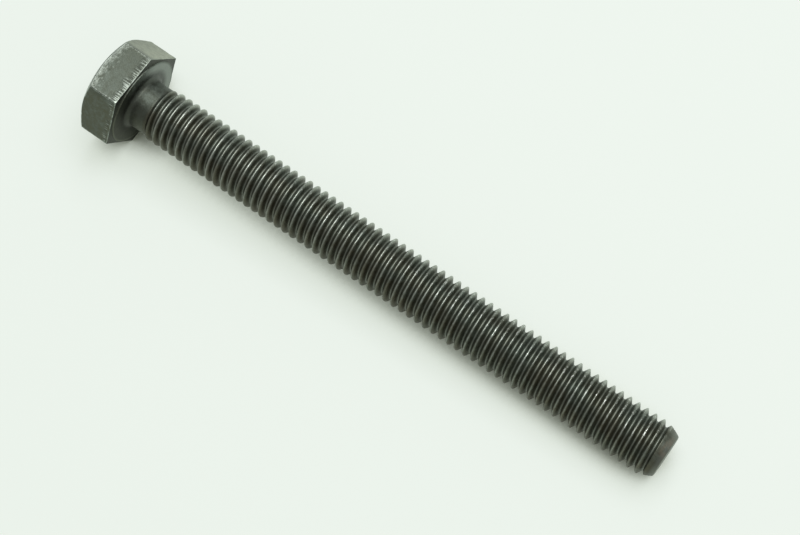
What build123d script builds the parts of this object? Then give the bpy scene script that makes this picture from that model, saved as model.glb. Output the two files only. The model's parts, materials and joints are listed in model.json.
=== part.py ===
from build123d import *
from math import atan, cos, sin
import os

# Main bearing cap bolt: a long hex-head screw, forged and thread-rolled from one piece of steel.
# All sizes are in millimetres. The row frame has its origin on the table, under the middle of
# the bolt's bounding box, with +X from the head towards the point and +Z up.

# ---- driving dimensions ----

# hex head
head_flats = 19.05            # wrench size across the flats, 3/4 in
head_height = 7.5             # from the bearing face to the flat of the crown
head_corner_round = 0.25      # radius along the six corners of the hex
crown_flat_d = 18.7           # the round flat that the chamfer leaves on the crown
crown_chamfer_slope = 0.577   # rise of the crown's 30 degree chamfer for each mm outwards
washer_face_d = 18.1          # the raised round face that bears on the cap
washer_face_height = 0.3
underhead_fillet = 1.0        # radius where the bearing face runs into the neck

# shank, with lengths from the bearing face
bolt_length = 120.65          # 4-3/4 in
thread_d = 11.1125            # major diameter, 7/16 in
thread_pitch = 25.4 / 14      # 14 turns to the inch
neck_d = 10.1                 # plain neck, about the diameter that the thread is rolled from
neck_length = 3.9             # bearing face to the first trace of the thread
runout_turns = 0.5            # turns over which the rolled thread rises to its full height
point_d = 8.5                 # flat end of the point
point_length = 2.2            # the chamfer that leads the first turns into the hole
point_edge_round = 0.3

# ---- sizes that follow from them ----

flat_radius = head_flats / 2
crown_radius = crown_flat_d / 2
washer_radius = washer_face_d / 2
neck_radius = neck_d / 2
thread_radius = thread_d / 2
point_radius = point_d / 2
hex_height = head_height - washer_face_height
thread_start = neck_length + runout_turns * thread_pitch
thread_end = bolt_length - point_length
blank_radius = head_flats     # a turned blank wider than the hex's corners

# ---- how the bolt lies ----

# It rests on two places: the edge under the head where the lowest flat ends, and the last
# full turn of the thread. The line through them is the table, so the axis slopes to the point.
rest_slope = atan((flat_radius - thread_radius) / (thread_end + washer_face_height))
along = Vector(cos(rest_slope), 0, -sin(rest_slope))     # down the shank, head to point
across = Vector(sin(rest_slope), 0, cos(rest_slope))     # square to the top flat
bearing_z = flat_radius * cos(rest_slope) - washer_face_height * sin(rest_slope)
reach_back = head_height * cos(rest_slope) + crown_radius * sin(rest_slope)
reach_front = bolt_length * cos(rest_slope) + point_radius * sin(rest_slope)
bearing_centre = Vector((reach_back - reach_front) / 2, 0, bearing_z)

bolt_axis = Axis(bearing_centre, along)
# on this plane, x runs down the shank from the bearing face and y out from the axis
profile_plane = Plane(origin=bearing_centre, x_dir=along, z_dir=along.cross(across))
# the underside of the hex, with two corners level with the axis and a flat up and down
hex_plane = Plane(origin=bearing_centre - along * washer_face_height, x_dir=(0, 1, 0), z_dir=-along)

# ---- the bolt ----

with BuildPart() as main_cap_bolt:
    # hex prism with slightly rounded corners
    with BuildSketch(hex_plane):
        RegularPolygon(radius=flat_radius, side_count=6, major_radius=False)
    extrude(amount=hex_height)
    fillet(main_cap_bolt.edges().filter_by(bolt_axis), head_corner_round)

    # the chamfer cone trims the hex's corners at the crown
    with BuildSketch(profile_plane):
        with BuildLine():
            Polyline(
                (0, 0),
                (-head_height, 0),
                (-head_height, crown_radius),
                (-head_height + (blank_radius - crown_radius) * crown_chamfer_slope, blank_radius),
                (0, blank_radius),
                close=True,
            )
        make_face()
    revolve(axis=bolt_axis, mode=Mode.INTERSECT)

    # washer face, filleted neck, thread at its major diameter, and point
    with BuildSketch(profile_plane):
        with BuildLine():
            Polyline(
                (-washer_face_height, 0),
                (-washer_face_height, washer_radius),
                (0, washer_radius),
                (0, neck_radius + underhead_fillet),
            )
            CenterArc((underhead_fillet, neck_radius + underhead_fillet), underhead_fillet, 180, 90)
            Polyline(
                (underhead_fillet, neck_radius),
                (neck_length, neck_radius),
                (thread_start, thread_radius),
                (thread_end, thread_radius),
                (bolt_length, point_radius),
                (bolt_length, 0),
                (-washer_face_height, 0),
            )
        make_face()
    revolve(axis=bolt_axis)

    # the point's sheared end has a soft edge
    point_rim = main_cap_bolt.edges().filter_by(GeomType.CIRCLE).sort_by(bolt_axis)[-1]
    fillet(point_rim, point_edge_round)

main_cap_bolt.part.label = "main_cap_bolt"

os.makedirs("parts", exist_ok=True)
export_step(main_cap_bolt.part, "parts/main_cap_bolt.step")
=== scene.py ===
# %% [markdown]
# # A main bearing cap bolt
#
# This lesson dresses one engine bolt: a long hex-head screw that clamps a main bearing cap to the
# crankcase. The real one is forged and thread-rolled from a single piece of steel, then blackened
# in a hot oxide bath and oiled. The measured CAD model has its true size, but only a plain cylinder
# where the thread belongs. Here the bolt gets its real helical thread, its worn edges and its
# finish, as one closed mesh.
#
# First the measured model is loaded. It is the frame that everything else is fitted to, so its box
# is noted before anything is added.

# %% Load the measured bolt
import json
from math import cos, pi, radians, sin, tan

import bmesh
import bpy
import numpy as np
from mathutils import Matrix, Vector, noise


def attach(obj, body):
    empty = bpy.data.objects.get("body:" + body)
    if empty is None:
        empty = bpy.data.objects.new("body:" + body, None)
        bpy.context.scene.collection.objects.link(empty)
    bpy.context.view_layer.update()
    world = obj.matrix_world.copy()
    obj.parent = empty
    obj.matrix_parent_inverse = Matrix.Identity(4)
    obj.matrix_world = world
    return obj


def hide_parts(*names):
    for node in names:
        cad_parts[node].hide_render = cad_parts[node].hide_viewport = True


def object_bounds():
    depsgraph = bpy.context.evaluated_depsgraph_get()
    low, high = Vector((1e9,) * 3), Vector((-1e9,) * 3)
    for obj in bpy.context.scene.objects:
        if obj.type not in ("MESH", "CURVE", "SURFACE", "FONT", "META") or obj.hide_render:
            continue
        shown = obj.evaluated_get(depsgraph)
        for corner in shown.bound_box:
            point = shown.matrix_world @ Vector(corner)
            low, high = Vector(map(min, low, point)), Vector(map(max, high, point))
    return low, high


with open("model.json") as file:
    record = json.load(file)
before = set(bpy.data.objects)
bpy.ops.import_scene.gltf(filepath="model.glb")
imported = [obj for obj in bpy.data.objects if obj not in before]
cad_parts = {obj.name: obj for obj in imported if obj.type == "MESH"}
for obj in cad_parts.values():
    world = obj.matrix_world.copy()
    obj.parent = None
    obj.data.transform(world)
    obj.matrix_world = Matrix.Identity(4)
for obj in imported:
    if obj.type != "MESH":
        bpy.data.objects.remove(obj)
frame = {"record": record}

cad_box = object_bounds()
MM = 0.001
print("CAD box in mm:", [round(c / MM, 2) for corner in cad_box for c in corner])

# %% [markdown]
# ## The bolt's own axes
#
# The bolt lies on its head and the tip of its thread, so its axis slopes a little. A turned part is
# easier to shape in its own terms: how far along the axis, how far out from it, and at what angle
# round it. Two mounts of the CAD model give the axis and the plane of the bearing face, which is
# the face that presses on the cap. Lengths along the bolt start there and grow towards the point.
# Angle 0 is the bolt's upper side.

# %% Axis, bearing face and the function that places a point
mounts = {m["name"]: m for m in frame["record"]["mounts"]}
shank_mount = mounts["threaded_shank"]
axis = np.array(shank_mount["axis"])
frame_y = np.array([0.0, 1.0, 0.0])
upward = np.cross(axis, frame_y)
sideways = np.cross(axis, upward)

shank_middle = np.array(shank_mount["pos_m"])
bearing_point = np.array(mounts["bearing_face"]["pos_m"])
bearing_centre = shank_middle + axis * np.dot(bearing_point - shank_middle, axis)


def place(along, radius, angle):
    """Row-frame points in metres, from millimetres along and out from the axis, and an angle."""
    outward = np.cos(angle)[..., None] * upward + np.sin(angle)[..., None] * sideways
    return bearing_centre + MM * (along[..., None] * axis + radius[..., None] * outward)


print("axis:", axis.round(4), "upward:", upward.round(4))
print("centre of the bearing face in metres:", bearing_centre.round(5))

# %% [markdown]
# ## Sizes
#
# The shank's sizes come from the mount, so the thread always fits the CAD model. The thread is the
# coarse inch series for this diameter, 14 turns to the inch. The head's sizes are the ones that the
# bolt was drawn with: a 3/4 inch hexagon, a raised round washer face and a 30 degree chamfer.

# %% Sizes in millimetres
thread_radius = shank_mount["dims"]["r_mm"]
thread_half_length = shank_mount["dims"]["length_mm"] / 2
thread_middle = float(np.dot(shank_middle - bearing_centre, axis)) / MM
thread_start = thread_middle - thread_half_length
thread_end = thread_middle + thread_half_length
inch = 25.4
turns_per_inch = 14
pitch = inch / turns_per_inch
runout = 0.5 * pitch

across_flats = 19.05
half_flats = across_flats / 2
corner_round = 0.25
head_height = 7.5
washer_step = 0.3
washer_radius = 9.05
crown_radius = 9.35
crown_slope = 0.577
fillet = 1.0
neck_radius = 5.05
neck_length = thread_start - runout
point_length = 2.2
point_radius = 4.25
point_round = 0.3
bolt_length = thread_end + point_length

print(f"thread from {thread_start:.2f} to {thread_end:.2f} mm, radius {thread_radius:.3f}")
print(f"length under the head {bolt_length:.2f} mm, {bolt_length / pitch:.1f} pitches")

# %% [markdown]
# ## One skin for one piece of steel
#
# A bump map could fake the thread, but a bolt is seen from close by, and its outline shows the
# teeth. So the whole skin is built in plain mesh code, row by row. The small builder below collects
# points and faces. It also keeps three things for the finish: how much handling has rubbed each
# point, where the trimming die has torn the metal, and where each point lies on the bolt.

# %% A builder for the skin
points = []
places_on_bolt = []
rubbed_parts = []
torn_parts = []
faces = []
point_count = 0


def add_points(along, radius, angle, rubbed=0.0, torn=0.0):
    """Adds an array of points and returns their numbers, in the same shape."""
    global point_count
    along, radius, angle, rubbed, torn = np.broadcast_arrays(along, radius, angle, rubbed, torn)
    points.append(place(along, radius, angle).reshape(-1, 3))
    on_bolt = np.stack([along, radius * np.cos(angle), radius * np.sin(angle)], -1)
    places_on_bolt.append(on_bolt.reshape(-1, 3))
    rubbed_parts.append(rubbed.reshape(-1))
    torn_parts.append(torn.reshape(-1))
    numbers = point_count + np.arange(along.size).reshape(along.shape)
    point_count += along.size
    return numbers


def join_lines(first, second):
    """Four-sided faces between two lines with the same number of points."""
    for i in range(len(first) - 1):
        faces.append((first[i], first[i + 1], second[i + 1], second[i]))


def join_rings(rings):
    """Faces from each ring to the next one, all the way round."""
    for first, second in zip(rings[:-1], rings[1:]):
        join_lines(first, second)
        faces.append((first[-1], first[0], second[0], second[-1]))


def join_unequal_rings(first, first_angles, second, second_angles):
    """Triangles between two rings, which step along whichever ring is behind."""
    first_count, second_count = len(first), len(second)
    first_ends = np.append(first_angles[1:], first_angles[0] + 2 * pi)
    second_ends = np.append(second_angles[1:], second_angles[0] + 2 * pi)
    a = b = 0
    while a < first_count or b < second_count:
        here_a, here_b = first[a % first_count], second[b % second_count]
        if b >= second_count or (a < first_count and first_ends[a] <= second_ends[b]):
            faces.append((here_a, first[(a + 1) % first_count], here_b))
            a += 1
        else:
            faces.append((here_a, second[(b + 1) % second_count], here_b))
            b += 1


def close_with_fan(centre, ring):
    """Triangles from one centre point to a ring, which runs the way the finished face shows."""
    count = len(ring)
    for i in range(count):
        faces.append((centre, ring[i], ring[(i + 1) % count]))


# %% [markdown]
# ## The hexagon
#
# The head's outline is a hexagon with slightly rounded corners. Each sixth of it runs from the
# middle of one flat to the middle of the next: half a flat, the corner's arc, and half a flat
# again. The points sit closer together on the arc, where the surface turns quickly. The same cell
# numbers the six flats and marks how near each point is to a corner, because corners wear first.

# %% The outline of the head
sixth_turn = radians(60)
flat_steps = 26
arc_steps = 8
corner_wear_reach = 0.40
flat_run = (half_flats - corner_round) * tan(radians(30))


def one_sixth():
    """Outline points, as offsets from the axis, from one flat's middle to the next one's."""
    first_half = [(half_flats, flat_run * i / flat_steps) for i in range(flat_steps)]
    turns = [sixth_turn * i / arc_steps for i in range(arc_steps + 1)]
    arc = [(half_flats - corner_round + corner_round * cos(t), flat_run + corner_round * sin(t))
           for t in turns]
    across, up = cos(sixth_turn), sin(sixth_turn)
    last_half = [(x * across + y * up, x * up - y * across) for x, y in reversed(first_half[1:])]
    return np.array(first_half + arc + last_half)


sixth = one_sixth()
sixth_angle = np.arctan2(sixth[:, 1], sixth[:, 0])
head_angles = np.concatenate([sixth_angle + sixth_turn * k for k in range(6)])
hex_radius = np.tile(np.hypot(sixth[:, 0], sixth[:, 1]), 6)
flat_number = np.rint(head_angles / sixth_turn).astype(int) % 6

steps_from_arc = [max(flat_steps - i, i - flat_steps - arc_steps, 0) for i in range(len(sixth))]
from_arc = np.array(steps_from_arc) * flat_run / flat_steps
near_corner = np.tile(np.clip(1 - from_arc / corner_wear_reach, 0, 1), 6)
print(f"{len(head_angles)} points round the head, {2 * hex_radius.max():.2f} mm across the corners")

# %% [markdown]
# ## Soft edges and small damage
#
# No forged edge is razor sharp, and a soft edge is also where the light catches. So each corner of
# the section is replaced by a short curve. Noise from Blender's own library, which gives the same
# values each time, then moves points by hundredths of a millimetre, and by up to 0.15 at a knock.

# %% Rounding and noise helpers
longest_share = 0.45
seed_distance = 17.3


def rounded_corner(before, corner, after, size, steps):
    """Rings of a short curve that replaces a corner; the first three hold (along, radius) pairs."""
    reach_in = np.linalg.norm(corner - before, axis=-1, keepdims=True)
    reach_out = np.linalg.norm(after - corner, axis=-1, keepdims=True)
    start = corner + (before - corner) / reach_in * np.minimum(size, longest_share * reach_in)
    end = corner + (after - corner) / reach_out * np.minimum(size, longest_share * reach_out)
    return [(1 - t) ** 2 * start + 2 * t * (1 - t) * corner + t ** 2 * end
            for t in np.linspace(0, 1, steps)]


def noise_at(along, radius, angle, feature_sizes, seed):
    """Smooth noise between about -1 and 1, with features of the given sizes in millimetres."""
    along, radius, angle = np.broadcast_arrays(along, radius, angle)
    size_along, size_up, size_across = feature_sizes
    xs = along / size_along + seed * seed_distance
    ys = radius * np.cos(angle) / size_up
    zs = radius * np.sin(angle) / size_across
    values = [noise.noise(Vector(p)) for p in zip(xs.ravel(), ys.ravel(), zs.ravel())]
    return np.array(values).reshape(along.shape)


# %% [markdown]
# ## The head's section
#
# The section is walked from the middle of the crown to the bearing face: the flat of the crown, the
# turned chamfer, the wrench flat, its trimmed edge, the narrow ledge under the hexagon, and the
# raised washer face. The chamfer is a cone and the flats are planes, so the edge between them dips
# in an arc on each flat, as on every hex bolt.

# %% Corners of the section
ones = np.ones(len(head_angles))


def ring_at(along, radius):
    """One ring of (along, radius) pairs; either value may change round the head."""
    return np.stack([along * ones, radius * ones], -1)


crown_inner = ring_at(-head_height, 7)
crown_edge = ring_at(-head_height, crown_radius)
flat_top = ring_at(-head_height + crown_slope * (hex_radius - crown_radius), hex_radius)
flat_bottom = ring_at(-washer_step, hex_radius)
ledge_inner = ring_at(-washer_step, washer_radius)
washer_rim = ring_at(0, washer_radius)
washer_inner = ring_at(0, washer_radius - 1)
chamfer_drop = flat_top[:, 0] + head_height
print(f"the chamfer ends {chamfer_drop.min():.2f} to {chamfer_drop.max():.2f} mm below the crown")

# %% [markdown]
# ## Rings and their wear
#
# Each ring of the section has a wear, which says how much it gets rubbed: the edges most, and the
# upper millimetres of the flats a little, where sockets have gripped the bolt. A ring's place on a
# flat is a share of the way down.

# %% Rings of the head
crown_rings = (1.5, 3, 4.5, 6, 7, 7.8, 8.4, 8.8)
face_rings = (8.5, 7.8, 7.1)
flat_places = [0.06, 0.11] + list(np.linspace(0.17, 0.86, 14)) + [0.9, 0.94, 0.965]

gripped_wear = [0.72, 0.64, 0.54, 0.43, 0.32, 0.22, 0.12]
low_wear = [0.1, 0.2, 0.4]
untouched = [0.0] * (len(flat_places) - len(gripped_wear) - len(low_wear))
flat_wear = gripped_wear + untouched + low_wear
lower_edge_wear = [0.7, 0.9, 0.7, 0.2]
crown_edge_wear = 0.8
chamfer_wear = 0.7
upper_edge_wear = 1.3

crown_round = 0.3
upper_edge_round = 0.22
lower_edge_round = 0.13
ledge_round = 0.08
rim_round = 0.07

rings = []
ring_wear = []


def add_rings(new_rings, wear):
    """Adds rings to the section, with one wear for all of them or a list."""
    rings.extend(new_rings)
    ring_wear.extend([wear] * len(new_rings) if isinstance(wear, float) else wear)


ledge_middle = flat_bottom * 0.6 + ledge_inner * 0.4
add_rings([ring_at(-head_height, r) for r in crown_rings], 0.0)
add_rings(rounded_corner(crown_inner, crown_edge, flat_top, crown_round, 5), crown_edge_wear)
add_rings([(crown_edge + flat_top) / 2], chamfer_wear)
add_rings(rounded_corner(crown_edge, flat_top, flat_bottom, upper_edge_round, 4), upper_edge_wear)
add_rings([flat_top + (flat_bottom - flat_top) * t for t in flat_places], flat_wear)
add_rings(rounded_corner(flat_top, flat_bottom, ledge_inner, lower_edge_round, 4), lower_edge_wear)
add_rings([ledge_middle], 0.0)
add_rings(rounded_corner(flat_bottom, ledge_inner, washer_rim, ledge_round, 2), 0.0)
add_rings(rounded_corner(ledge_inner, washer_rim, washer_inner, rim_round, 3), 0.0)
add_rings([ring_at(0, r) for r in face_rings], 0.0)

head_along, head_radius = np.moveaxis(np.array(rings), -1, 0)
head_rubbed = np.array(ring_wear)[:, None] * ones
print(f"{len(rings)} rings make the head, {head_along.size} points")

# %% [markdown]
# ## Wear that differs from flat to flat
#
# Nothing wears evenly. The flat on top has been gripped and slid on the bench, its neighbours much
# less, so each flat gets its own share of the wear. The corners between them are rubbed on all six,
# and one corner has also been knocked at its lower end.

# %% Share the wear out over the flats
flat_shares = np.array([1.0, 0.1, 0.3, 0.5, 0.4, 0.3])
corner_wear = 0.75
knock_wear = 0.7
knock_reach = 0.9
knocked_angle = radians(30)
same_corner = 0.9
hair = 0.02

on_flats = head_radius > hex_radius - hair
crown_half = head_along < -head_height / 2
head_rubbed = np.where(on_flats & crown_half, head_rubbed * flat_shares[flat_number], head_rubbed)
head_rubbed = np.maximum(head_rubbed, corner_wear * near_corner * on_flats)
knocked_corner = near_corner * (np.cos(head_angles - knocked_angle) > same_corner)
by_lower_edge = np.clip(1 - (-washer_step - head_along) / knock_reach, 0, 1)
head_rubbed = head_rubbed + knock_wear * knocked_corner * by_lower_edge * on_flats
print("share of the wear on each flat, from the top one:", flat_shares.tolist())

# %% [markdown]
# ## The trimmed edge
#
# The hexagon is cut from the forged blank by a die, which shears the metal from the crown side down
# to the bearing side. The last part tears, and leaves a row of short upright ridges just above the
# lower edge of each flat. Their zone starts a little above the edge and ends at an uneven height,
# which differs from flat to flat. It is stored for the finish as a value from 0 to 1.

# %% Zone of the torn edge
at_head = (head_along, head_radius, head_angles[None, :])
torn_start = np.array([0.15, 0.38, 0.2, 0.2, 0.15, 0.2])[flat_number]
torn_end = np.array([1.5, 1.2, 0.6, 0.8, 1.2, 0.5])[flat_number]
unevenness = 0.6
fade_share = 0.3
start_fade = 0.15
untorn_top = 1.2

torn_end = torn_end * (1 + unevenness * noise_at(0 * head_along, *at_head[1:], (1, 1.6, 1.6), 3))
from_edge = -washer_step - head_along
below_end = np.clip((torn_end - from_edge) / (fade_share * torn_end), 0, 1)
above_start = np.clip((from_edge - torn_start) / start_fade, 0, 1)
on_wall = on_flats & (head_along > -head_height + untorn_top)
head_torn = below_end * above_start * on_wall
print(f"torn edge up to {from_edge[head_torn > 0].max():.2f} mm above the lower edge")

# %% [markdown]
# ## Ridges, waves and knocks
#
# The mesh gets the shallow ridges of the torn edge, the faint waves of a forged face, and the
# knocks that handling has left on rubbed edges. They cut inwards, but for a micron or two, so that
# the head doesn't outgrow the measured one.

# %% Move the head's points inwards
ridge_depth = 0.03
ridge_offset = 0.3
wave_depth = 0.012
knock_depth = 0.16
knock_limit = 0.18
crown_zone = 0.6
crown_share = 0.75

ridges = noise_at(*at_head, (6, 0.28, 0.28), 1)
waves = noise_at(*at_head, (3, 3, 3), 2)
knocks = np.clip(noise_at(*at_head, (0.7, 0.7, 0.7), 4) - knock_limit, 0, 1) * head_rubbed

ridge_dents = ridge_depth * head_torn * (ridges - ridge_offset)
dents = wave_depth * (waves - 1) + ridge_dents - knock_depth * knocks
dents = (head_radius > crown_radius) * dents
head_radius = head_radius + dents
near_crown = head_along < -head_height + crown_zone
sunk = wave_depth * (waves + 1) + crown_share * knock_depth * knocks
head_along = head_along + near_crown * sunk
print(f"the sides move by {dents.min():.3f} to {dents.max():.4f} mm, outwards being positive")

# %% [markdown]
# ## The head becomes mesh
#
# Each ring of the section is joined to the next one by a row of faces. A fan of triangles round one
# middle point closes the crown. The lowest ring stays open for now: the neck will be joined to it.

# %% Put the head into the skin
crown_middle = add_points(np.array(-head_height + wave_depth), 0.0, 0.0).item()
head_numbers = add_points(head_along, head_radius, head_angles[None, :], head_rubbed, head_torn)
join_rings(head_numbers)
close_with_fan(crown_middle, head_numbers[0][::-1])
print(f"{point_count} points and {len(faces)} faces so far")

# %% [markdown]
# ## The fillet and the neck
#
# A bolt breaks first where its head meets its shank, so that corner is a true quarter circle, which
# spreads the load. Below it runs a short plain neck that the rolling dies did not reach. From here
# on the rings have fewer points, because the shank is slimmer. The two counts meet on the flat
# bearing face, where a change of mesh can't be seen.

# %% Fillet and neck
turn_steps = 72
fillet_steps = 8
shank_angles = 2 * pi * np.arange(turn_steps) / turn_steps
fillet_outer = neck_radius + fillet

neck_section = [(0, fillet_outer + outside) for outside in (0.5, 0.12)]
for i in range(fillet_steps + 1):
    t = radians(90) * i / fillet_steps
    neck_section.append((fillet * (1 - cos(t)), fillet_outer - fillet * sin(t)))
below_fillet = 0.3
neck_section.append((fillet + below_fillet, neck_radius))
neck_section = np.array(neck_section)

neck_numbers = add_points(neck_section[:, :1], neck_section[:, 1:], shank_angles[None, :])
join_unequal_rings(head_numbers[-1], head_angles, neck_numbers[0], shank_angles)
join_rings(neck_numbers)
print(f"fillet of {fillet} mm, neck {2 * neck_radius:.1f} mm across and {neck_length:.2f} mm long")

# %% [markdown]
# ## The thread's form
#
# The thread is rolled: hard dies press the groove in, and the displaced metal rises into the crest.
# The form has 60 degree flanks, a rounded root and a narrow crest with soft corners. It is written
# as a function that gives the radius at any place across one pitch. A function stays exact between
# the mesh's own points, so the same form can be sampled coarsely or finely.

# %% Radius across one pitch
crest_half = 0.075 * pitch
crest_round = 0.125 * pitch
root_round = 0.144 * pitch
flank_slope = tan(radians(60))
crest_flat = crest_half - crest_round * tan(radians(30))
crest_end = crest_half + crest_round * tan(radians(30)) * cos(radians(60))
root_centre = thread_radius - flank_slope * (pitch / 2 - crest_half) + 2 * root_round
root_begin = pitch / 2 - root_round * cos(radians(30))


def from_crest(x):
    """How far x millimetres along a row of crests is from the nearest one."""
    return np.abs((x + pitch / 2) % pitch - pitch / 2)


def thread_form(x):
    """Radius in millimetres at x millimetres from the middle of a crest."""
    x = from_crest(x)
    flank = thread_radius - flank_slope * (x - crest_half)
    fall = crest_round - np.sqrt(np.maximum(crest_round ** 2 - (x - crest_flat) ** 2, 0))
    crest = thread_radius - np.where(x > crest_flat, fall, 0)
    root = root_centre - np.sqrt(np.maximum(root_round ** 2 - (pitch / 2 - x) ** 2, 0))
    return np.where(x < crest_end, crest, np.where(x < root_begin, flank, root))


root_radius = float(thread_form(pitch / 2))
print(f"crest {thread_radius:.3f} mm, root {root_radius:.3f} mm")

# %% [markdown]
# ## Points across one turn
#
# A grid of upright rings would cut across the helix and leave jagged crests. A ribbon that climbs
# with the helix follows them exactly: its long lines are crests, flanks and roots, and the end of
# one turn is the start of the next. Straight flanks need few points, so most of them go to the two
# curves. Only half a pitch is worked out, and the other half is its mirror image.

# %% Places across the ribbon
crest_arc = [crest_flat, crest_flat + crest_round * sin(radians(30)), crest_end]
flank_middle = (crest_end + root_begin) / 2
root_arc = [root_begin] + [pitch / 2 - root_round * sin(radians(turned)) for turned in (40, 18)]
half_places = [0.0] + crest_arc + [flank_middle] + root_arc
other_half = [pitch - x for x in reversed(half_places[1:])]
form_places = np.array(half_places + [pitch / 2] + other_half)
across_count = len(form_places)
even_places = pitch * np.arange(across_count) / across_count
print(f"{across_count} points across each turn:", form_places.round(3))

# %% [markdown]
# ## What the thread may not pass
#
# The thread has no hard ends. Near the neck the dies fade out, so the form blends back into the
# neck. At the point the blank was chamfered before rolling, so the crests follow a slightly bulged
# cone and the last groove runs out in it, which leaves a smooth band. Past the rim the section
# turns onto the flat end face. One function walks this whole section, and the ribbon follows it.

# %% The shank's section
rolling_fade = 0.8 * pitch
cone_run = 3.0
cone_rise = thread_radius - point_radius
cone_bulge = 0.25
last_groove = 1.85
groove_fade = 0.55


def smooth_step(x):
    """Rises from 0 to 1 as x does, with a soft start and end."""
    x = np.clip(x, 0, 1)
    return x * x * (3 - 2 * x)


def shank_section(walked, form):
    """Along and radius for a length walked on the section, down the shank and onto the end face."""
    risen = smooth_step((walked - neck_length) / rolling_fade)
    radius = neck_radius + risen * (form - neck_radius)

    to_rim = bolt_length - walked
    up_cone = np.clip(to_rim / cone_run, 0, 1)
    cone = point_radius + cone_rise * up_cone * (1 + cone_bulge - cone_bulge * up_cone)
    grooved = 1 - smooth_step((last_groove - to_rim) / groove_fade)
    radius = np.where(to_rim < cone_run, cone - grooved * np.maximum(cone - radius, 0), radius)

    turn = np.clip((point_round - to_rim) / (2 * point_round), 0, 1)
    curve_start = point_radius + cone_rise / cone_run * (1 + cone_bulge) * point_round
    curve_along = bolt_length - (1 - turn) ** 2 * point_round
    curve_radius = (1 - turn) ** 2 * curve_start + 2 * turn * (1 - turn) * point_radius
    curve_radius = curve_radius + turn ** 2 * (point_radius - point_round)

    on_shank_side = to_rim > point_round
    on_end_face = to_rim < -point_round
    along = np.where(on_shank_side, walked, np.where(on_end_face, bolt_length, curve_along))
    inward = np.where(on_end_face, point_radius + to_rim, curve_radius)
    return along, np.where(on_shank_side, radius, inward)


print(f"cone {cone_run} mm long at the point, from {point_radius} to {thread_radius:.2f} mm radius")

# %% [markdown]
# ## The ribbon
#
# The ribbon starts on the plain neck and ends on the flat of the point, where there is no thread,
# so both of its ends can close against an ordinary ring. Over the last turns its places shift to
# even spacing, because on the end face there is no thread form left to follow. The crests also get
# their share of rubbing here: they are what slides along the threaded hole.

# %% Points of the ribbon
crest_place = 0.60 * pitch
first_turn = 0.5
face_run = 0.45
rubbed_crest = 0.17 * pitch
settle_turns = 4
settle_length = 1.5
ribbon_start = crest_place + first_turn * pitch
steps = int(round(turn_steps * (bolt_length + face_run - ribbon_start) / pitch))

step_numbers = np.arange(steps)
ribbon_angle = 2 * pi * (step_numbers / turn_steps + first_turn)
settling = step_numbers - steps + settle_turns * turn_steps
near_end = smooth_step(settling / (settle_length * turn_steps))
places_across = form_places + near_end[:, None] * (even_places - form_places)
walked = ribbon_start + pitch * step_numbers[:, None] / turn_steps + places_across
ribbon_along, ribbon_radius = shank_section(walked, thread_form(places_across))

on_crest = np.clip(1 - from_crest(places_across) / rubbed_crest, 0, 1)
on_thread = smooth_step((walked - neck_length) / pitch) * (walked < bolt_length - last_groove)
ribbon = add_points(ribbon_along, ribbon_radius, ribbon_angle[:, None], on_crest * on_thread)
print(f"{steps} steps along the ribbon, {steps / turn_steps:.1f} turns, {ribbon.size} points")

# %% [markdown]
# ## Sewing the ribbon into a skin
#
# Neighbouring lines of the ribbon make rows of four-sided faces, and the last line of each turn is
# sewn to the first line of the next. At either end one face closes the step that a helix always
# leaves against a flat ring. With that the skin is shut everywhere, like the steel it stands for.

# %% Faces of the ribbon and its ends
for j in range(steps - 1):
    for m in range(across_count - 1):
        faces.append((ribbon[j, m], ribbon[j + 1, m], ribbon[j + 1, m + 1], ribbon[j, m + 1]))
    later = j + turn_steps
    if later + 1 < steps:
        faces.append((ribbon[j, -1], ribbon[j + 1, -1], ribbon[later + 1, 0], ribbon[later, 0]))

start_ring = np.roll(neck_numbers[-1], -int(first_turn * turn_steps))
join_lines(start_ring, ribbon[:turn_steps, 0])
one_turn_on = [ribbon[turn_steps, 0], ribbon[turn_steps - 1, 0]]
faces.append((start_ring[0], *ribbon[0], *one_turn_on, start_ring[-1]))

last_turn = slice(steps - turn_steps, steps)
end_gap = 0.4
end_radius = point_radius - face_run - pitch - end_gap
end_ring = add_points(np.array(bolt_length), end_radius, ribbon_angle[last_turn])
last_line = ribbon[last_turn, -1]
join_lines(last_line, end_ring)
turn_before = ribbon[steps - turn_steps - 1, -1]
faces.append((turn_before, last_line[0], end_ring[0], end_ring[-1], *ribbon[-1, ::-1]))

end_middle = add_points(np.array(bolt_length), 0.0, 0.0).item()
close_with_fan(end_middle, end_ring)
print(f"{point_count} points and {len(faces)} faces in the whole skin")

# %% [markdown]
# ## From lists to a Blender object
#
# Blender takes the points and faces as they are. The stored numbers become attributes of the mesh,
# which materials can read by name. Smooth shading hides the small facets of the curves. A closed
# skin has two faces at every edge and a positive volume, so both are measured here.

# %% Make the mesh and measure it
mesh = bpy.data.meshes.new("cap_bolt")
mesh.from_pydata(np.concatenate(points).tolist(), [], [tuple(int(i) for i in f) for f in faces])
for name, kind, key, parts in (
        ("rubbed", "FLOAT", "value", rubbed_parts),
        ("torn", "FLOAT", "value", torn_parts),
        ("bolt_place", "FLOAT_VECTOR", "vector", places_on_bolt)):
    attribute = mesh.attributes.new(name, kind, "POINT")
    attribute.data.foreach_set(key, np.concatenate(parts).ravel())
mesh.polygons.foreach_set("use_smooth", [True] * len(mesh.polygons))
mesh.update()
bolt = bpy.data.objects.new("cap_bolt", mesh)
bpy.context.scene.collection.objects.link(bolt)

checked = bmesh.new()
checked.from_mesh(mesh)
open_edges = sum(not edge.is_manifold for edge in checked.edges)
volume = checked.calc_volume(signed=True) / MM ** 3
checked.free()
triangles = sum(len(p.vertices) - 2 for p in mesh.polygons)
print(f"{triangles} triangles, {open_edges} open edges, {volume:.0f} mm3")

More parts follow.
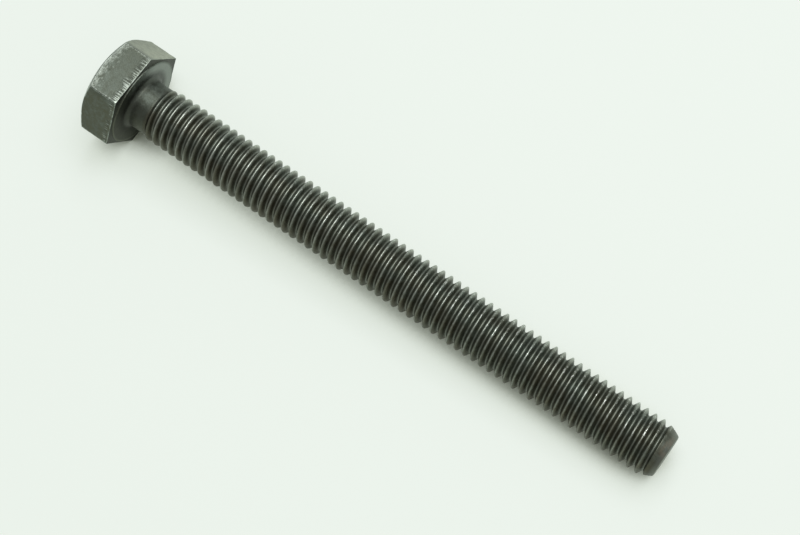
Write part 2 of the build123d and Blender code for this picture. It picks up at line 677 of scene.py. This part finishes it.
# %% [markdown]
# ## Words for wiring a material
#
# A material in Blender is a net of small nodes. Wired one by one they fill pages, so this class
# gives short names to the few kinds that the bolt and the board need, and each returns an output
# that the next one can use. A spread's first two numbers are the range that it reads, and its last
# two are what that range becomes: 0 to 1 where they are left out.

# %% A small class for materials


class Recipe:
    """A new material, with short words for the nodes that it is made of."""

    seed_distances = (7.1, 3.7, 5.3)

    def __init__(self, name):
        self.material = bpy.data.materials.new(name)
        self.material.use_nodes = True
        self.nodes = self.material.node_tree.nodes
        self.links = self.material.node_tree.links
        self.shader = self.nodes["Principled BSDF"]

    def feed(self, socket, value):
        """Gives a socket another node's output, a plain number or a plain colour."""
        if isinstance(value, bpy.types.NodeSocket):
            self.links.new(value, socket)
        elif socket.type == "RGBA":
            socket.default_value = (*value, 1.0)
        else:
            socket.default_value = value

    def stored(self, name):
        """The node that reads one of the mesh's attributes."""
        node = self.nodes.new("ShaderNodeAttribute")
        node.attribute_name = name
        return node

    def noise(self, place, scale, detail, roughness, seed):
        """Noise from 0 to 1 at a place, with a scale per unit along each direction."""
        mapping = self.nodes.new("ShaderNodeMapping")
        mapping.inputs["Location"].default_value = [seed * step for step in self.seed_distances]
        mapping.inputs["Scale"].default_value = scale
        self.feed(mapping.inputs["Vector"], place)
        node = self.nodes.new("ShaderNodeTexNoise")
        node.inputs["Scale"].default_value = 1.0
        node.inputs["Detail"].default_value = detail
        node.inputs["Roughness"].default_value = roughness
        self.feed(node.inputs["Vector"], mapping.outputs["Vector"])
        return node.outputs["Fac"]

    def spread(self, value, low, high, to_low=0.0, to_high=1.0):
        """Stretches the range from low to high to a new one, and holds values inside it."""
        node = self.nodes.new("ShaderNodeMapRange")
        self.feed(node.inputs["Value"], value)
        self.feed(node.inputs["From Min"], low)
        self.feed(node.inputs["From Max"], high)
        self.feed(node.inputs["To Min"], to_low)
        self.feed(node.inputs["To Max"], to_high)
        return node.outputs["Result"]

    def combine(self, operation, first, second):
        """One step of arithmetic between two values."""
        node = self.nodes.new("ShaderNodeMath")
        node.operation = operation
        self.feed(node.inputs[0], first)
        self.feed(node.inputs[1], second)
        return node.outputs["Value"]

    def times(self, first, *others):
        """All the values multiplied together."""
        for other in others:
            first = self.combine("MULTIPLY", first, other)
        return first

    def add(self, first, *others):
        """All the values added together."""
        for other in others:
            first = self.combine("ADD", first, other)
        return first

    def window(self, value, start, whole_from, whole_to, end):
        """1 between the two middle limits, which falls to 0 at the two outer ones."""
        return self.times(self.spread(value, start, whole_from), self.spread(value, end, whole_to))

    def blend(self, factor, first, second):
        """A mix of two colours: a factor of 0 gives the first, and 1 the second."""
        node = self.nodes.new("ShaderNodeMix")
        node.data_type = "RGBA"
        first_socket, second_socket = [s for s in node.inputs if s.type == "RGBA"]
        self.feed(node.inputs["Factor"], factor)
        self.feed(first_socket, first)
        self.feed(second_socket, second)
        return [s for s in node.outputs if s.type == "RGBA"][0]


# %% [markdown]
# ## The noises of the finish
#
# A hot oxide bath turns the steel's own surface into a thin dark layer. It is still a metal finish,
# so the material is a metal with a dark colour. What makes it look real is that nothing about it is
# even. All of that unevenness comes from the noises below, from broad stains to fine grain. Each
# one is tied to the bolt's own places, so it stays with the steel when the bolt is moved. Its scale
# is given along the bolt, up and across: a small number makes a long feature.

# %% The steel and its noises
steel = Recipe("black_oxide_steel")
steel.shader.inputs["Metallic"].default_value = 1.0
bolt_place = steel.stored("bolt_place").outputs["Vector"]
rubbed = steel.stored("rubbed").outputs["Fac"]
torn_edge = steel.stored("torn").outputs["Fac"]

cloud = steel.noise(bolt_place, (0.9, 0.9, 0.9), detail=6.0, roughness=0.66, seed=1)
grain = steel.noise(bolt_place, (4.5, 4.5, 4.5), detail=3.0, roughness=0.6, seed=2)
stain = steel.noise(bolt_place, (0.16, 0.22, 0.22), detail=2.0, roughness=0.5, seed=3)
tear_lines = steel.noise(bolt_place, (0.35, 4.2, 4.2), detail=1.0, roughness=0.5, seed=4)
rolling_lines = steel.noise(bolt_place, (9.0, 0.9, 0.9), detail=3.0, roughness=0.6, seed=5)
chips = steel.noise(bolt_place, (2.4, 1.7, 1.7), detail=4.0, roughness=0.7, seed=6)
rust_cloud = steel.noise(bolt_place, (0.5, 0.33, 0.33), detail=3.0, roughness=0.5, seed=7)
turn_wear = steel.noise(bolt_place, (0.55, 0.12, 0.12), detail=2.0, roughness=0.6, seed=8)
print("eight noises, from broad stains to fine grain")

# %% [markdown]
# ## Regions of the bolt
#
# Each region is a value from 0 to 1 that says how much a place belongs to it. It could be painted
# by hand, but limits in millimetres say it exactly. A region with four limits is whole between the
# middle two, and one with two grows from the first to the second. They are read from how far along
# the bolt a place is, how far from its axis, and on which of its sides.

# %% Places to measure from
split_place = steel.nodes.new("ShaderNodeSeparateXYZ")
steel.feed(split_place.inputs["Vector"], bolt_place)
along_bolt = split_place.outputs["X"]
up_bolt = split_place.outputs["Y"]
across_bolt = split_place.outputs["Z"]
squares = [steel.times(side, side) for side in (up_bolt, across_bolt)]
from_axis = steel.combine("POWER", steel.add(*squares), 0.5)
print("measured: along the bolt, up, across, and out from the axis")

# %% [markdown]
# ## Regions of the head
#
# The flats differ from side to side. The upper flat on the far side, towards the lamp and the lit
# board, is paler: partly dust and partly a painted reflection of the board. The flat on the near
# side, away from the lamp, is darker: partly oil and partly painted shade. The top flat gets
# painted shade too, most on its far side, where it reflects the lamp. The ledge under the hexagon,
# the fillet and the near side of the bearing face get painted shade, and the far side of the
# bearing face is painted paler.

# %% Flats, ledge, fillet and bearing face
hexagon_top = (-head_height + 0.05, -head_height + 0.45)
hexagon_foot = (-washer_step - 0.06, -washer_step + 0.02)
side_flat = (5.3, 6.3)
upper_side = (-0.3, 0.3)
ledge_limits = (-0.34, -0.30, -0.20, -0.05)
under_head_limits = (-0.2, 0.0, 0.9, 1.8)
fillet_limits = (7.6, 6.4)
face_limits = (-0.20, -0.02, 0.1, 0.6)
face_rim = (washer_radius - 0.10, washer_radius - 0.45)

on_hexagon = steel.window(along_bolt, *hexagon_top, *hexagon_foot)
off_hexagon = steel.spread(along_bolt, *hexagon_foot)
# The flat on the near side, away from the lamp, is darker: partly oil and partly painted shade.
oily_shaded_flat = steel.times(steel.spread(across_bolt, *side_flat), on_hexagon)
far_side = steel.spread(across_bolt, -side_flat[0], -side_flat[1])
# The upper flat on the far side, towards the lamp, is paler: partly dust and partly a painted
# reflection of the lit board.
dusty_lit_flat = steel.times(far_side, steel.spread(up_bolt, *upper_side), on_hexagon)
between_sides = steel.window(across_bolt, -side_flat[1], -side_flat[0], *side_flat)
top_flat = steel.times(between_sides, on_hexagon)

# The ledge under the hexagon and the fillet get painted shade.
on_ledge = steel.window(along_bolt, *ledge_limits)
under_head = steel.window(along_bolt, *under_head_limits)
by_fillet = steel.times(under_head, steel.spread(from_axis, *fillet_limits))
inside_rim = steel.spread(from_axis, *face_rim)
on_bearing_face = steel.times(steel.window(along_bolt, *face_limits), inside_rim)
print("regions: flats, ledge, fillet and bearing face")

# %% [markdown]
# ## Regions of the shank
#
# The distance from the axis alone splits the thread into roots, flanks and tips. Its near side,
# away from the lamp, runs on from the head's: it is darker, partly oil and partly painted shade.
# The tips of the far side, towards the lamp, get a painted highlight, the roots a painted line of
# light and the flanks painted shade. The plain neck under the head gets painted shade. At the
# point, a smooth band is left where the last groove runs out.

# %% Neck, thread and point
neck_limits = (0.9, 1.6, 3.8, 4.6)
shank_begins = (neck_length - 0.3, neck_length + 0.7)
root_limits = (4.80, 4.50)
flank_limits = (4.55, 4.80, 5.05, 5.38)
tip_limits = (4.9, 5.4)
oily_shaded_side = (0.5, 5.0)
shade_side_limits = (2.0, 5.0)
lit_side_limits = (-3.0, -5.2)
band_limits = [bolt_length - to_end for to_end in (1.45, 0.75, 0.25, 0.05)]
rust_limits = (-3.4, -1.6, 0.6, 2.4)

on_shank = steel.spread(along_bolt, *shank_begins)
# The plain neck under the head gets painted shade.
on_neck = steel.window(along_bolt, *neck_limits)
# The roots are painted paler, which stands in for the line of light along them.
in_root = steel.times(steel.spread(from_axis, *root_limits), on_shank)
on_flank = steel.times(steel.window(from_axis, *flank_limits), on_shank)
# The near side below the hexagon, away from the lamp, is darker: partly dried oil, partly painted
# shade.
oily_shaded_shank = steel.times(steel.spread(across_bolt, *oily_shaded_side), off_hexagon)
# Painted shade: the near side of the thread, away from the lamp, is darkened further.
painted_shade_side = steel.times(steel.spread(across_bolt, *shade_side_limits), on_shank)
# Painted highlight: the thread's tips on the far side, towards the lamp, are paler.
lit_side = steel.spread(across_bolt, *lit_side_limits)
painted_lit_tips = steel.times(lit_side, steel.spread(from_axis, *tip_limits), on_shank)
on_point_band = steel.window(along_bolt, *band_limits)
rusty_part = steel.window(across_bolt, *rust_limits)
print("regions: neck, roots, flanks, tips, sides and point")

# %% [markdown]
# ## The oxide's colour
#
# The layer starts as a cloudy mix of a dark and a lighter grey-green, darkened by grain and broken
# by broad stains. These are linear colours, where 1 sends back all the light.

# %% Colours of the layer
# Several of these colours also serve as painted light and shade: the dark ones as painted shade on
# the side away from the lamp, in the grooves and under the head, the pale ones as painted light on
# the side towards the lamp and along the roots.
deep_oxide = (0.094, 0.108, 0.084)
thin_oxide = (0.222, 0.264, 0.226)
grain_oxide = (0.062, 0.068, 0.052)
stained_oxide = (0.120, 0.142, 0.120)
dried_oil_and_shade = (0.108, 0.114, 0.074)
dust_and_sheen = (0.43, 0.46, 0.365)
dull_steel_and_sheen = (0.50, 0.53, 0.46)
point_light_paint = (0.20, 0.215, 0.18)
light_rust = (0.275, 0.235, 0.17)
brown_film = (0.120, 0.104, 0.064)
lit_face_paint = (0.30, 0.335, 0.30)
grime_and_shade = (0.050, 0.054, 0.044)
old_oil_and_shade = (0.056, 0.054, 0.036)
root_sheen = (0.20, 0.22, 0.19)

oxide = steel.blend(steel.spread(cloud, 0.36, 0.64), deep_oxide, thin_oxide)
oxide = steel.blend(steel.spread(grain, 0.3, 0.7, 0.0, 0.5), oxide, grain_oxide)
oxide = steel.blend(steel.spread(stain, 0.54, 0.70, 0.0, 0.5), oxide, stained_oxide)
print(f"a cloudy oxide from {deep_oxide} to {thin_oxide}")

# %% [markdown]
# ## How thick each layer lies
#
# Nothing lies evenly on the steel, so each region is changed by a noise or by its place. Dust and
# the painted reflection on the far upper flat lie in clouds and thin out towards the crown. The
# brown film is broken up by the stains. Crests are worn to dull steel, unevenly from turn to turn
# and less towards the point. The flanks get painted shade, deeper towards the head. The point's
# band and the bearing face are painted paler on the side towards the lamp and darker on the other.

# %% Shares of the layers
# Dust and painted reflection on the far upper flat, in clouds, thinner towards the crown.
dust_and_sheen_cloud = steel.spread(cloud, 0.34, 0.60, 0.55, 0.90)
dust_and_sheen_fall = steel.spread(along_bolt, -6.5, -1.5, 0.65, 1.0)
dust_and_sheen_share = steel.times(dusty_lit_flat, dust_and_sheen_cloud, dust_and_sheen_fall)
# Oil and painted shade on the near flat, in clouds.
oil_and_shade_share = steel.times(oily_shaded_flat, steel.spread(cloud, 0.38, 0.60, 0.80, 0.40))
# Painted shade on the top flat, strongest on its far side, where it reflects the lamp.
top_flat_shade = steel.times(top_flat, steel.spread(across_bolt, 1.0, -5.0, 0.46, 0.84))

film = steel.times(on_shank, steel.spread(stain, 0.40, 0.60))
film_share = steel.times(film, steel.spread(across_bolt, -4.0, 3.0, 0.32, 0.62))
# Painted shade in the thread's flanks, partly old oil, deeper towards the head.
flank_shade_share = steel.times(on_flank, steel.spread(along_bolt, 70.0, 10.0, 0.18, 0.40))
crest_fall = steel.spread(along_bolt, 70.0, 10.0, 0.10, 0.50)
crest_turns = steel.spread(turn_wear, 0.38, 0.62, 0.35, 1.5)
crest_share = steel.times(rubbed, on_shank, crest_fall, crest_turns)

# Painted light and shade: the point's band is paler on the side towards the lamp and darker on the
# side away from it.
point_lit_share = steel.times(on_point_band, steel.spread(across_bolt, 1.0, -3.0, 0.0, 0.6))
point_shade = steel.times(on_point_band, steel.spread(across_bolt, -2.0, 2.0, 0.0, 0.5))
rust_share = steel.times(on_point_band, rusty_part, steel.spread(rust_cloud, 0.42, 0.54))
# Painted light and shade: the bearing face is paler on the side towards the lamp and darker on the
# side away from it.
lit_face_share = steel.times(on_bearing_face, steel.spread(across_bolt, -1.0, -5.0, 0.0, 0.7))
shaded_face_share = steel.times(on_bearing_face, steel.spread(across_bolt, 1.0, 4.0, 0.0, 0.7))
open_pits = steel.times(steel.spread(tear_lines, 0.46, 0.38), torn_edge)
print("shares for the head, the thread and the point")

# %% [markdown]
# ## Glazes
#
# Each layer goes over the oxide like a thin glaze: brown where oil has dried, grey where dust has
# settled, dull steel where crests are worn, rust at the point, dark where grime sits in the torn
# edge's pits. Many glazes are also painted light and shade: darker on the side away from the lamp,
# in the flanks, on the neck, on the top flat, on the ledge and round the fillet, and paler on the
# tips and faces towards the lamp and along the roots, where the pale colour stands in for their
# line of light.
# A strength below 1 lets more of what lies beneath show through. The order matters, because each
# glaze covers the ones before it.

# %% Lay the glazes
glazes = [
    # Dried oil and painted shade on the near side, away from the lamp.
    (oily_shaded_shank, 0.68, dried_oil_and_shade),
    (film_share, 1.0, brown_film),
    # Oil and painted shade on the near flat.
    (oil_and_shade_share, 1.0, dried_oil_and_shade),
    # Painted shade on the top flat.
    (top_flat_shade, 1.0, deep_oxide),
    # Dust and a painted reflection of the lit board.
    (dust_and_sheen_share, 1.0, dust_and_sheen),
    # Painted shade and old oil in the flanks.
    (flank_shade_share, 1.0, old_oil_and_shade),
    (crest_share, 1.0, dull_steel_and_sheen),
    # Painted highlight on the tips towards the lamp.
    (painted_lit_tips, 0.8, dull_steel_and_sheen),
    # Painted shade on the thread's side away from the lamp.
    (painted_shade_side, 0.5, old_oil_and_shade),
    # Painted shade on the neck under the head.
    (on_neck, 0.35, grime_and_shade),
    # Painted light and shade on the point's band.
    (point_lit_share, 1.0, point_light_paint),
    (point_shade, 1.0, grime_and_shade),
    (rust_share, 0.8, light_rust),
    # Painted light and shade on the bearing face: paler towards the lamp, darker on the near side.
    (lit_face_share, 1.0, lit_face_paint),
    # Painted shade round the fillet and on the ledge.
    (by_fillet, 0.7, grime_and_shade),
    (shaded_face_share, 1.0, grime_and_shade),
    (on_ledge, 0.8, grime_and_shade),
    # Painted line of light along the roots.
    (in_root, 0.5, root_sheen),
    (open_pits, 0.6, grime_and_shade),
]
for share, strength, colour in glazes:
    oxide = steel.blend(steel.times(share, strength), oxide, colour)
print(f"{len(glazes)} glazes over the cloudy oxide")

# %% [markdown]
# ## Where the layer has worn through
#
# Bare steel shows where the stored rubbing and the chip noise together pass a limit. So wear starts
# on the edges, but in ragged spots and not as an even line. Some turns of the thread are rubbed
# more than others, and the film and the painted shade of the side away from the lamp hide part of
# it. The ridges of the trimmed edge have lost their layer too, as fine upright dashes.

# %% Bare steel
bare_steel = (0.40, 0.45, 0.395)
torn_strength = 0.70
chip_weight = 2.0
wear_limits = (1.40, 2.30)

turn_share = steel.spread(turn_wear, 0.38, 0.62, 0.45, 1.25)
rubbed_and_chipped = steel.add(rubbed, steel.times(chips, chip_weight))
# The film and the painted shade of the near side thin the bare steel out.
edge_wear = steel.times(
    steel.spread(rubbed_and_chipped, *wear_limits),
    steel.spread(film, 0.2, 1.0, 1.0, 0.75),
    steel.spread(painted_shade_side, 0.0, 1.0, 1.0, 0.4),
    steel.spread(on_shank, 0.0, 1.0, 1.0, turn_share))
torn_wear = steel.times(steel.spread(tear_lines, 0.50, 0.60), torn_edge, torn_strength)
bare = steel.combine("MAXIMUM", edge_wear, torn_wear)
worn = steel.blend(bare, oxide, bare_steel)
print("bare steel at the edges, crests and torn ridges")

# %% [markdown]
# ## Glints on the crests
#
# The tops of the crests also carry small bright chips of pale steel. They stand partly for places
# where something hard has struck them and partly are painted glints, since they are kept to the
# side towards the lamp, and the darker side away from it has none. They are the peaks of the chip
# noise, so they stay small and rare. They grow brighter towards the point, which enters the hole
# first.

# %% Bright chips and painted glints
glint_paint = (0.80, 0.83, 0.78)
chip_limits = (0.56, 0.62)
crest_top = (5.25, 5.42)
# Painted glints: pale chips on the crest tops, kept to the side towards the lamp.
painted_glints = steel.times(
    steel.spread(chips, *chip_limits),
    steel.spread(from_axis, *crest_top),
    on_shank,
    turn_share,
    steel.spread(across_bolt, 2.0, -1.0),
    steel.spread(along_bolt, 20.0, 100.0, 0.3, 1.0))
steel.feed(steel.shader.inputs["Base Color"], steel.blend(painted_glints, worn, glint_paint))
print("bright chips on the crests, strongest near the point")

# %% [markdown]
# ## Shine
#
# Roughness decides how sharp a reflection is. The oxide is a satin finish, a little uneven like its
# colour. Worn spots and the crests have been polished by use, so they are smoother and glint more.

# %% Roughness
smoothest_oxide = 0.42
roughest_oxide = 0.56
bare_polish = 0.10
crest_polish = 0.06
glint_polish = 0.08

polish = steel.add(
    steel.times(bare, bare_polish),
    steel.times(rubbed, on_shank, crest_polish),
    steel.times(painted_glints, glint_polish))
satin = steel.spread(cloud, 0.3, 0.7, smoothest_oxide, roughest_oxide)
steel.feed(steel.shader.inputs["Roughness"], steel.combine("SUBTRACT", satin, polish))
print(f"roughness {smoothest_oxide} to {roughest_oxide}, less where it is polished")

# %% [markdown]
# ## Fine relief
#
# The smallest relief is hundredths of a millimetre deep: the grain of the forging, faint lines
# round the shank from the rolling dies, and scratches down the torn edge. That is too fine for the
# mesh, so a bump node bends the light there instead.

# %% Bump
relief_depth = 0.03 * MM
grain_height = 0.7
line_height = 0.4
tear_height = 2.4
height = steel.add(
    steel.times(grain, grain_height),
    cloud,
    steel.times(rolling_lines, on_shank, line_height),
    steel.times(tear_lines, torn_edge, tear_height))
bump = steel.nodes.new("ShaderNodeBump")
bump.inputs["Distance"].default_value = relief_depth
steel.feed(bump.inputs["Height"], height)
steel.feed(steel.shader.inputs["Normal"], bump.outputs["Normal"])
mesh.materials.append(steel.material)
print(f"relief of {relief_depth / MM:.2f} mm for each unit of height")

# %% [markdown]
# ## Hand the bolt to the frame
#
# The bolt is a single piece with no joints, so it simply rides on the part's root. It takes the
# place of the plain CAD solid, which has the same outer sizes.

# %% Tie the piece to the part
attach(bolt, "root")
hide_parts("main_cap_bolt")
print("cap_bolt rides on root and replaces main_cap_bolt")

# %% [markdown]
# ## A pale board to lie on
#
# The bolt lies on a pale board. One large square is enough for it, a hair below the lowest point of
# the measured bolt, so that the two don't cut into each other.

# %% Floor
floor_reach = 3.0
floor_drop = 0.02 * MM
floor_z = cad_box[0].z - floor_drop
corner_signs = ((-1, -1), (1, -1), (1, 1), (-1, 1))
floor_corners = [(x * floor_reach, y * floor_reach, floor_z) for x, y in corner_signs]
floor_mesh = bpy.data.meshes.new("floor")
floor_mesh.from_pydata(floor_corners, [], [(0, 1, 2, 3)])
floor = bpy.data.objects.new("floor", floor_mesh)
bpy.context.scene.collection.objects.link(floor)
print(f"floor {2 * floor_reach:.0f} m wide, {floor_drop / MM:.2f} mm under the bolt")

# %% [markdown]
# ## The board's colour and glow
#
# A board that is close to white would need so much light that the steel would glare, so part of its
# brightness is a plain glow that only the camera and reflections see. An ambient occlusion node
# finds how much sky reaches each place. Close to the bolt that is little: there the glow fades and
# the board's colour is deeper, so the soft shadow stays.

# %% Material of the board
shaded_board = (0.64, 0.70, 0.55)
open_board = (0.79, 0.82, 0.875)
board_glow = (0.833, 0.913, 0.775)
glow_share = 0.62
shadow_reach = 8 * MM
open_sky = (0.42, 0.72)

board = Recipe("pale_board")
board.shader.inputs["Roughness"].default_value = 0.9
board.shader.inputs["Specular IOR Level"].default_value = 0.1
sky = board.nodes.new("ShaderNodeAmbientOcclusion")
sky.samples = 8
sky.inputs["Distance"].default_value = shadow_reach
in_open = board.spread(sky.outputs["AO"], *open_sky)
board.feed(board.shader.inputs["Base Color"], board.blend(in_open, shaded_board, open_board))

glow = board.nodes.new("ShaderNodeEmission")
board.feed(glow.inputs["Color"], board_glow)
ray = board.nodes.new("ShaderNodeLightPath")
seen = board.combine("MAXIMUM", ray.outputs["Is Camera Ray"], ray.outputs["Is Glossy Ray"])
mixed = board.nodes.new("ShaderNodeMixShader")
board.feed(mixed.inputs[0], board.times(seen, in_open, glow_share))
board.links.new(board.shader.outputs["BSDF"], mixed.inputs[1])
board.links.new(glow.outputs["Emission"], mixed.inputs[2])
board.links.new(mixed.outputs["Shader"], board.nodes["Material Output"].inputs["Surface"])
floor_mesh.materials.append(board.material)
print(f"glow of {glow_share} in the open, less near the bolt")

# %% [markdown]
# ## Light
#
# Dark metal shows mostly what it reflects. A plain white world gives every facet something soft to
# reflect. One large soft lamp overhead, leaning a little to the far side of the bolt, draws the
# bright line along the crests and lets a short shadow fall towards the viewer.

# %% World and soft lamp
room_strength = 0.42
lamp_direction = Vector((0.05, 0.30, 0.95)).normalized()
lamp_distance = 0.9
lamp_size = 0.75
lamp_radiance = 4.0

world = bpy.data.worlds.new("soft_room")
world.use_nodes = True
background = world.node_tree.nodes["Background"]
background.inputs["Color"].default_value = (1, 1, 1, 1)
background.inputs["Strength"].default_value = room_strength
bpy.context.scene.world = world

lamp_data = bpy.data.lights.new("soft_lamp", "AREA")
lamp_data.shape = "SQUARE"
lamp_data.size = lamp_size
lamp_data.energy = lamp_radiance * pi * lamp_size ** 2
lamp = bpy.data.objects.new("soft_lamp", lamp_data)
lamp.location = lamp_direction * lamp_distance
lamp.rotation_euler = lamp_direction.to_track_quat("Z", "Y").to_euler()
bpy.context.scene.collection.objects.link(lamp)
print(f"lamp {lamp_size} m wide at {lamp_distance} m, {lamp_data.energy:.1f} W")

# %% [markdown]
# ## Camera
#
# The camera looks down steeply with a long lens, from about a third of a metre away, so the bolt
# crosses the picture from corner to corner. It is placed on a sphere round the point it aims at,
# by an azimuth and an elevation, and then rolled about its own line of sight.

# %% Camera
azimuth = radians(-45.182)
elevation = radians(70.951)
roll = radians(-9.548)
aim = Vector((0.003521, 0.001775, 0.006))
camera_distance = 0.35099
lens_length = 83.88

camera_data = bpy.data.cameras.new("camera")
camera_data.lens = lens_length
camera_data.sensor_width = 36
camera_data.clip_start = 0.01
camera_data.clip_end = 20
camera = bpy.data.objects.new("camera", camera_data)
to_camera = Vector((cos(elevation) * cos(azimuth), cos(elevation) * sin(azimuth), sin(elevation)))
camera.location = aim + to_camera * camera_distance
unrolled = (-to_camera).to_track_quat("-Z", "Y").to_matrix()
camera.rotation_euler = (unrolled @ Matrix.Rotation(roll, 3, "Z")).to_euler()
bpy.context.scene.collection.objects.link(camera)
bpy.context.scene.camera = camera
print(f"camera at {[round(c, 3) for c in camera.location]} m with an {lens_length} mm lens")

# %% [markdown]
# ## Colours as written
#
# The Standard view shows colours as they were written.

# %% Colours as written
bpy.context.scene.view_settings.view_transform = "Standard"
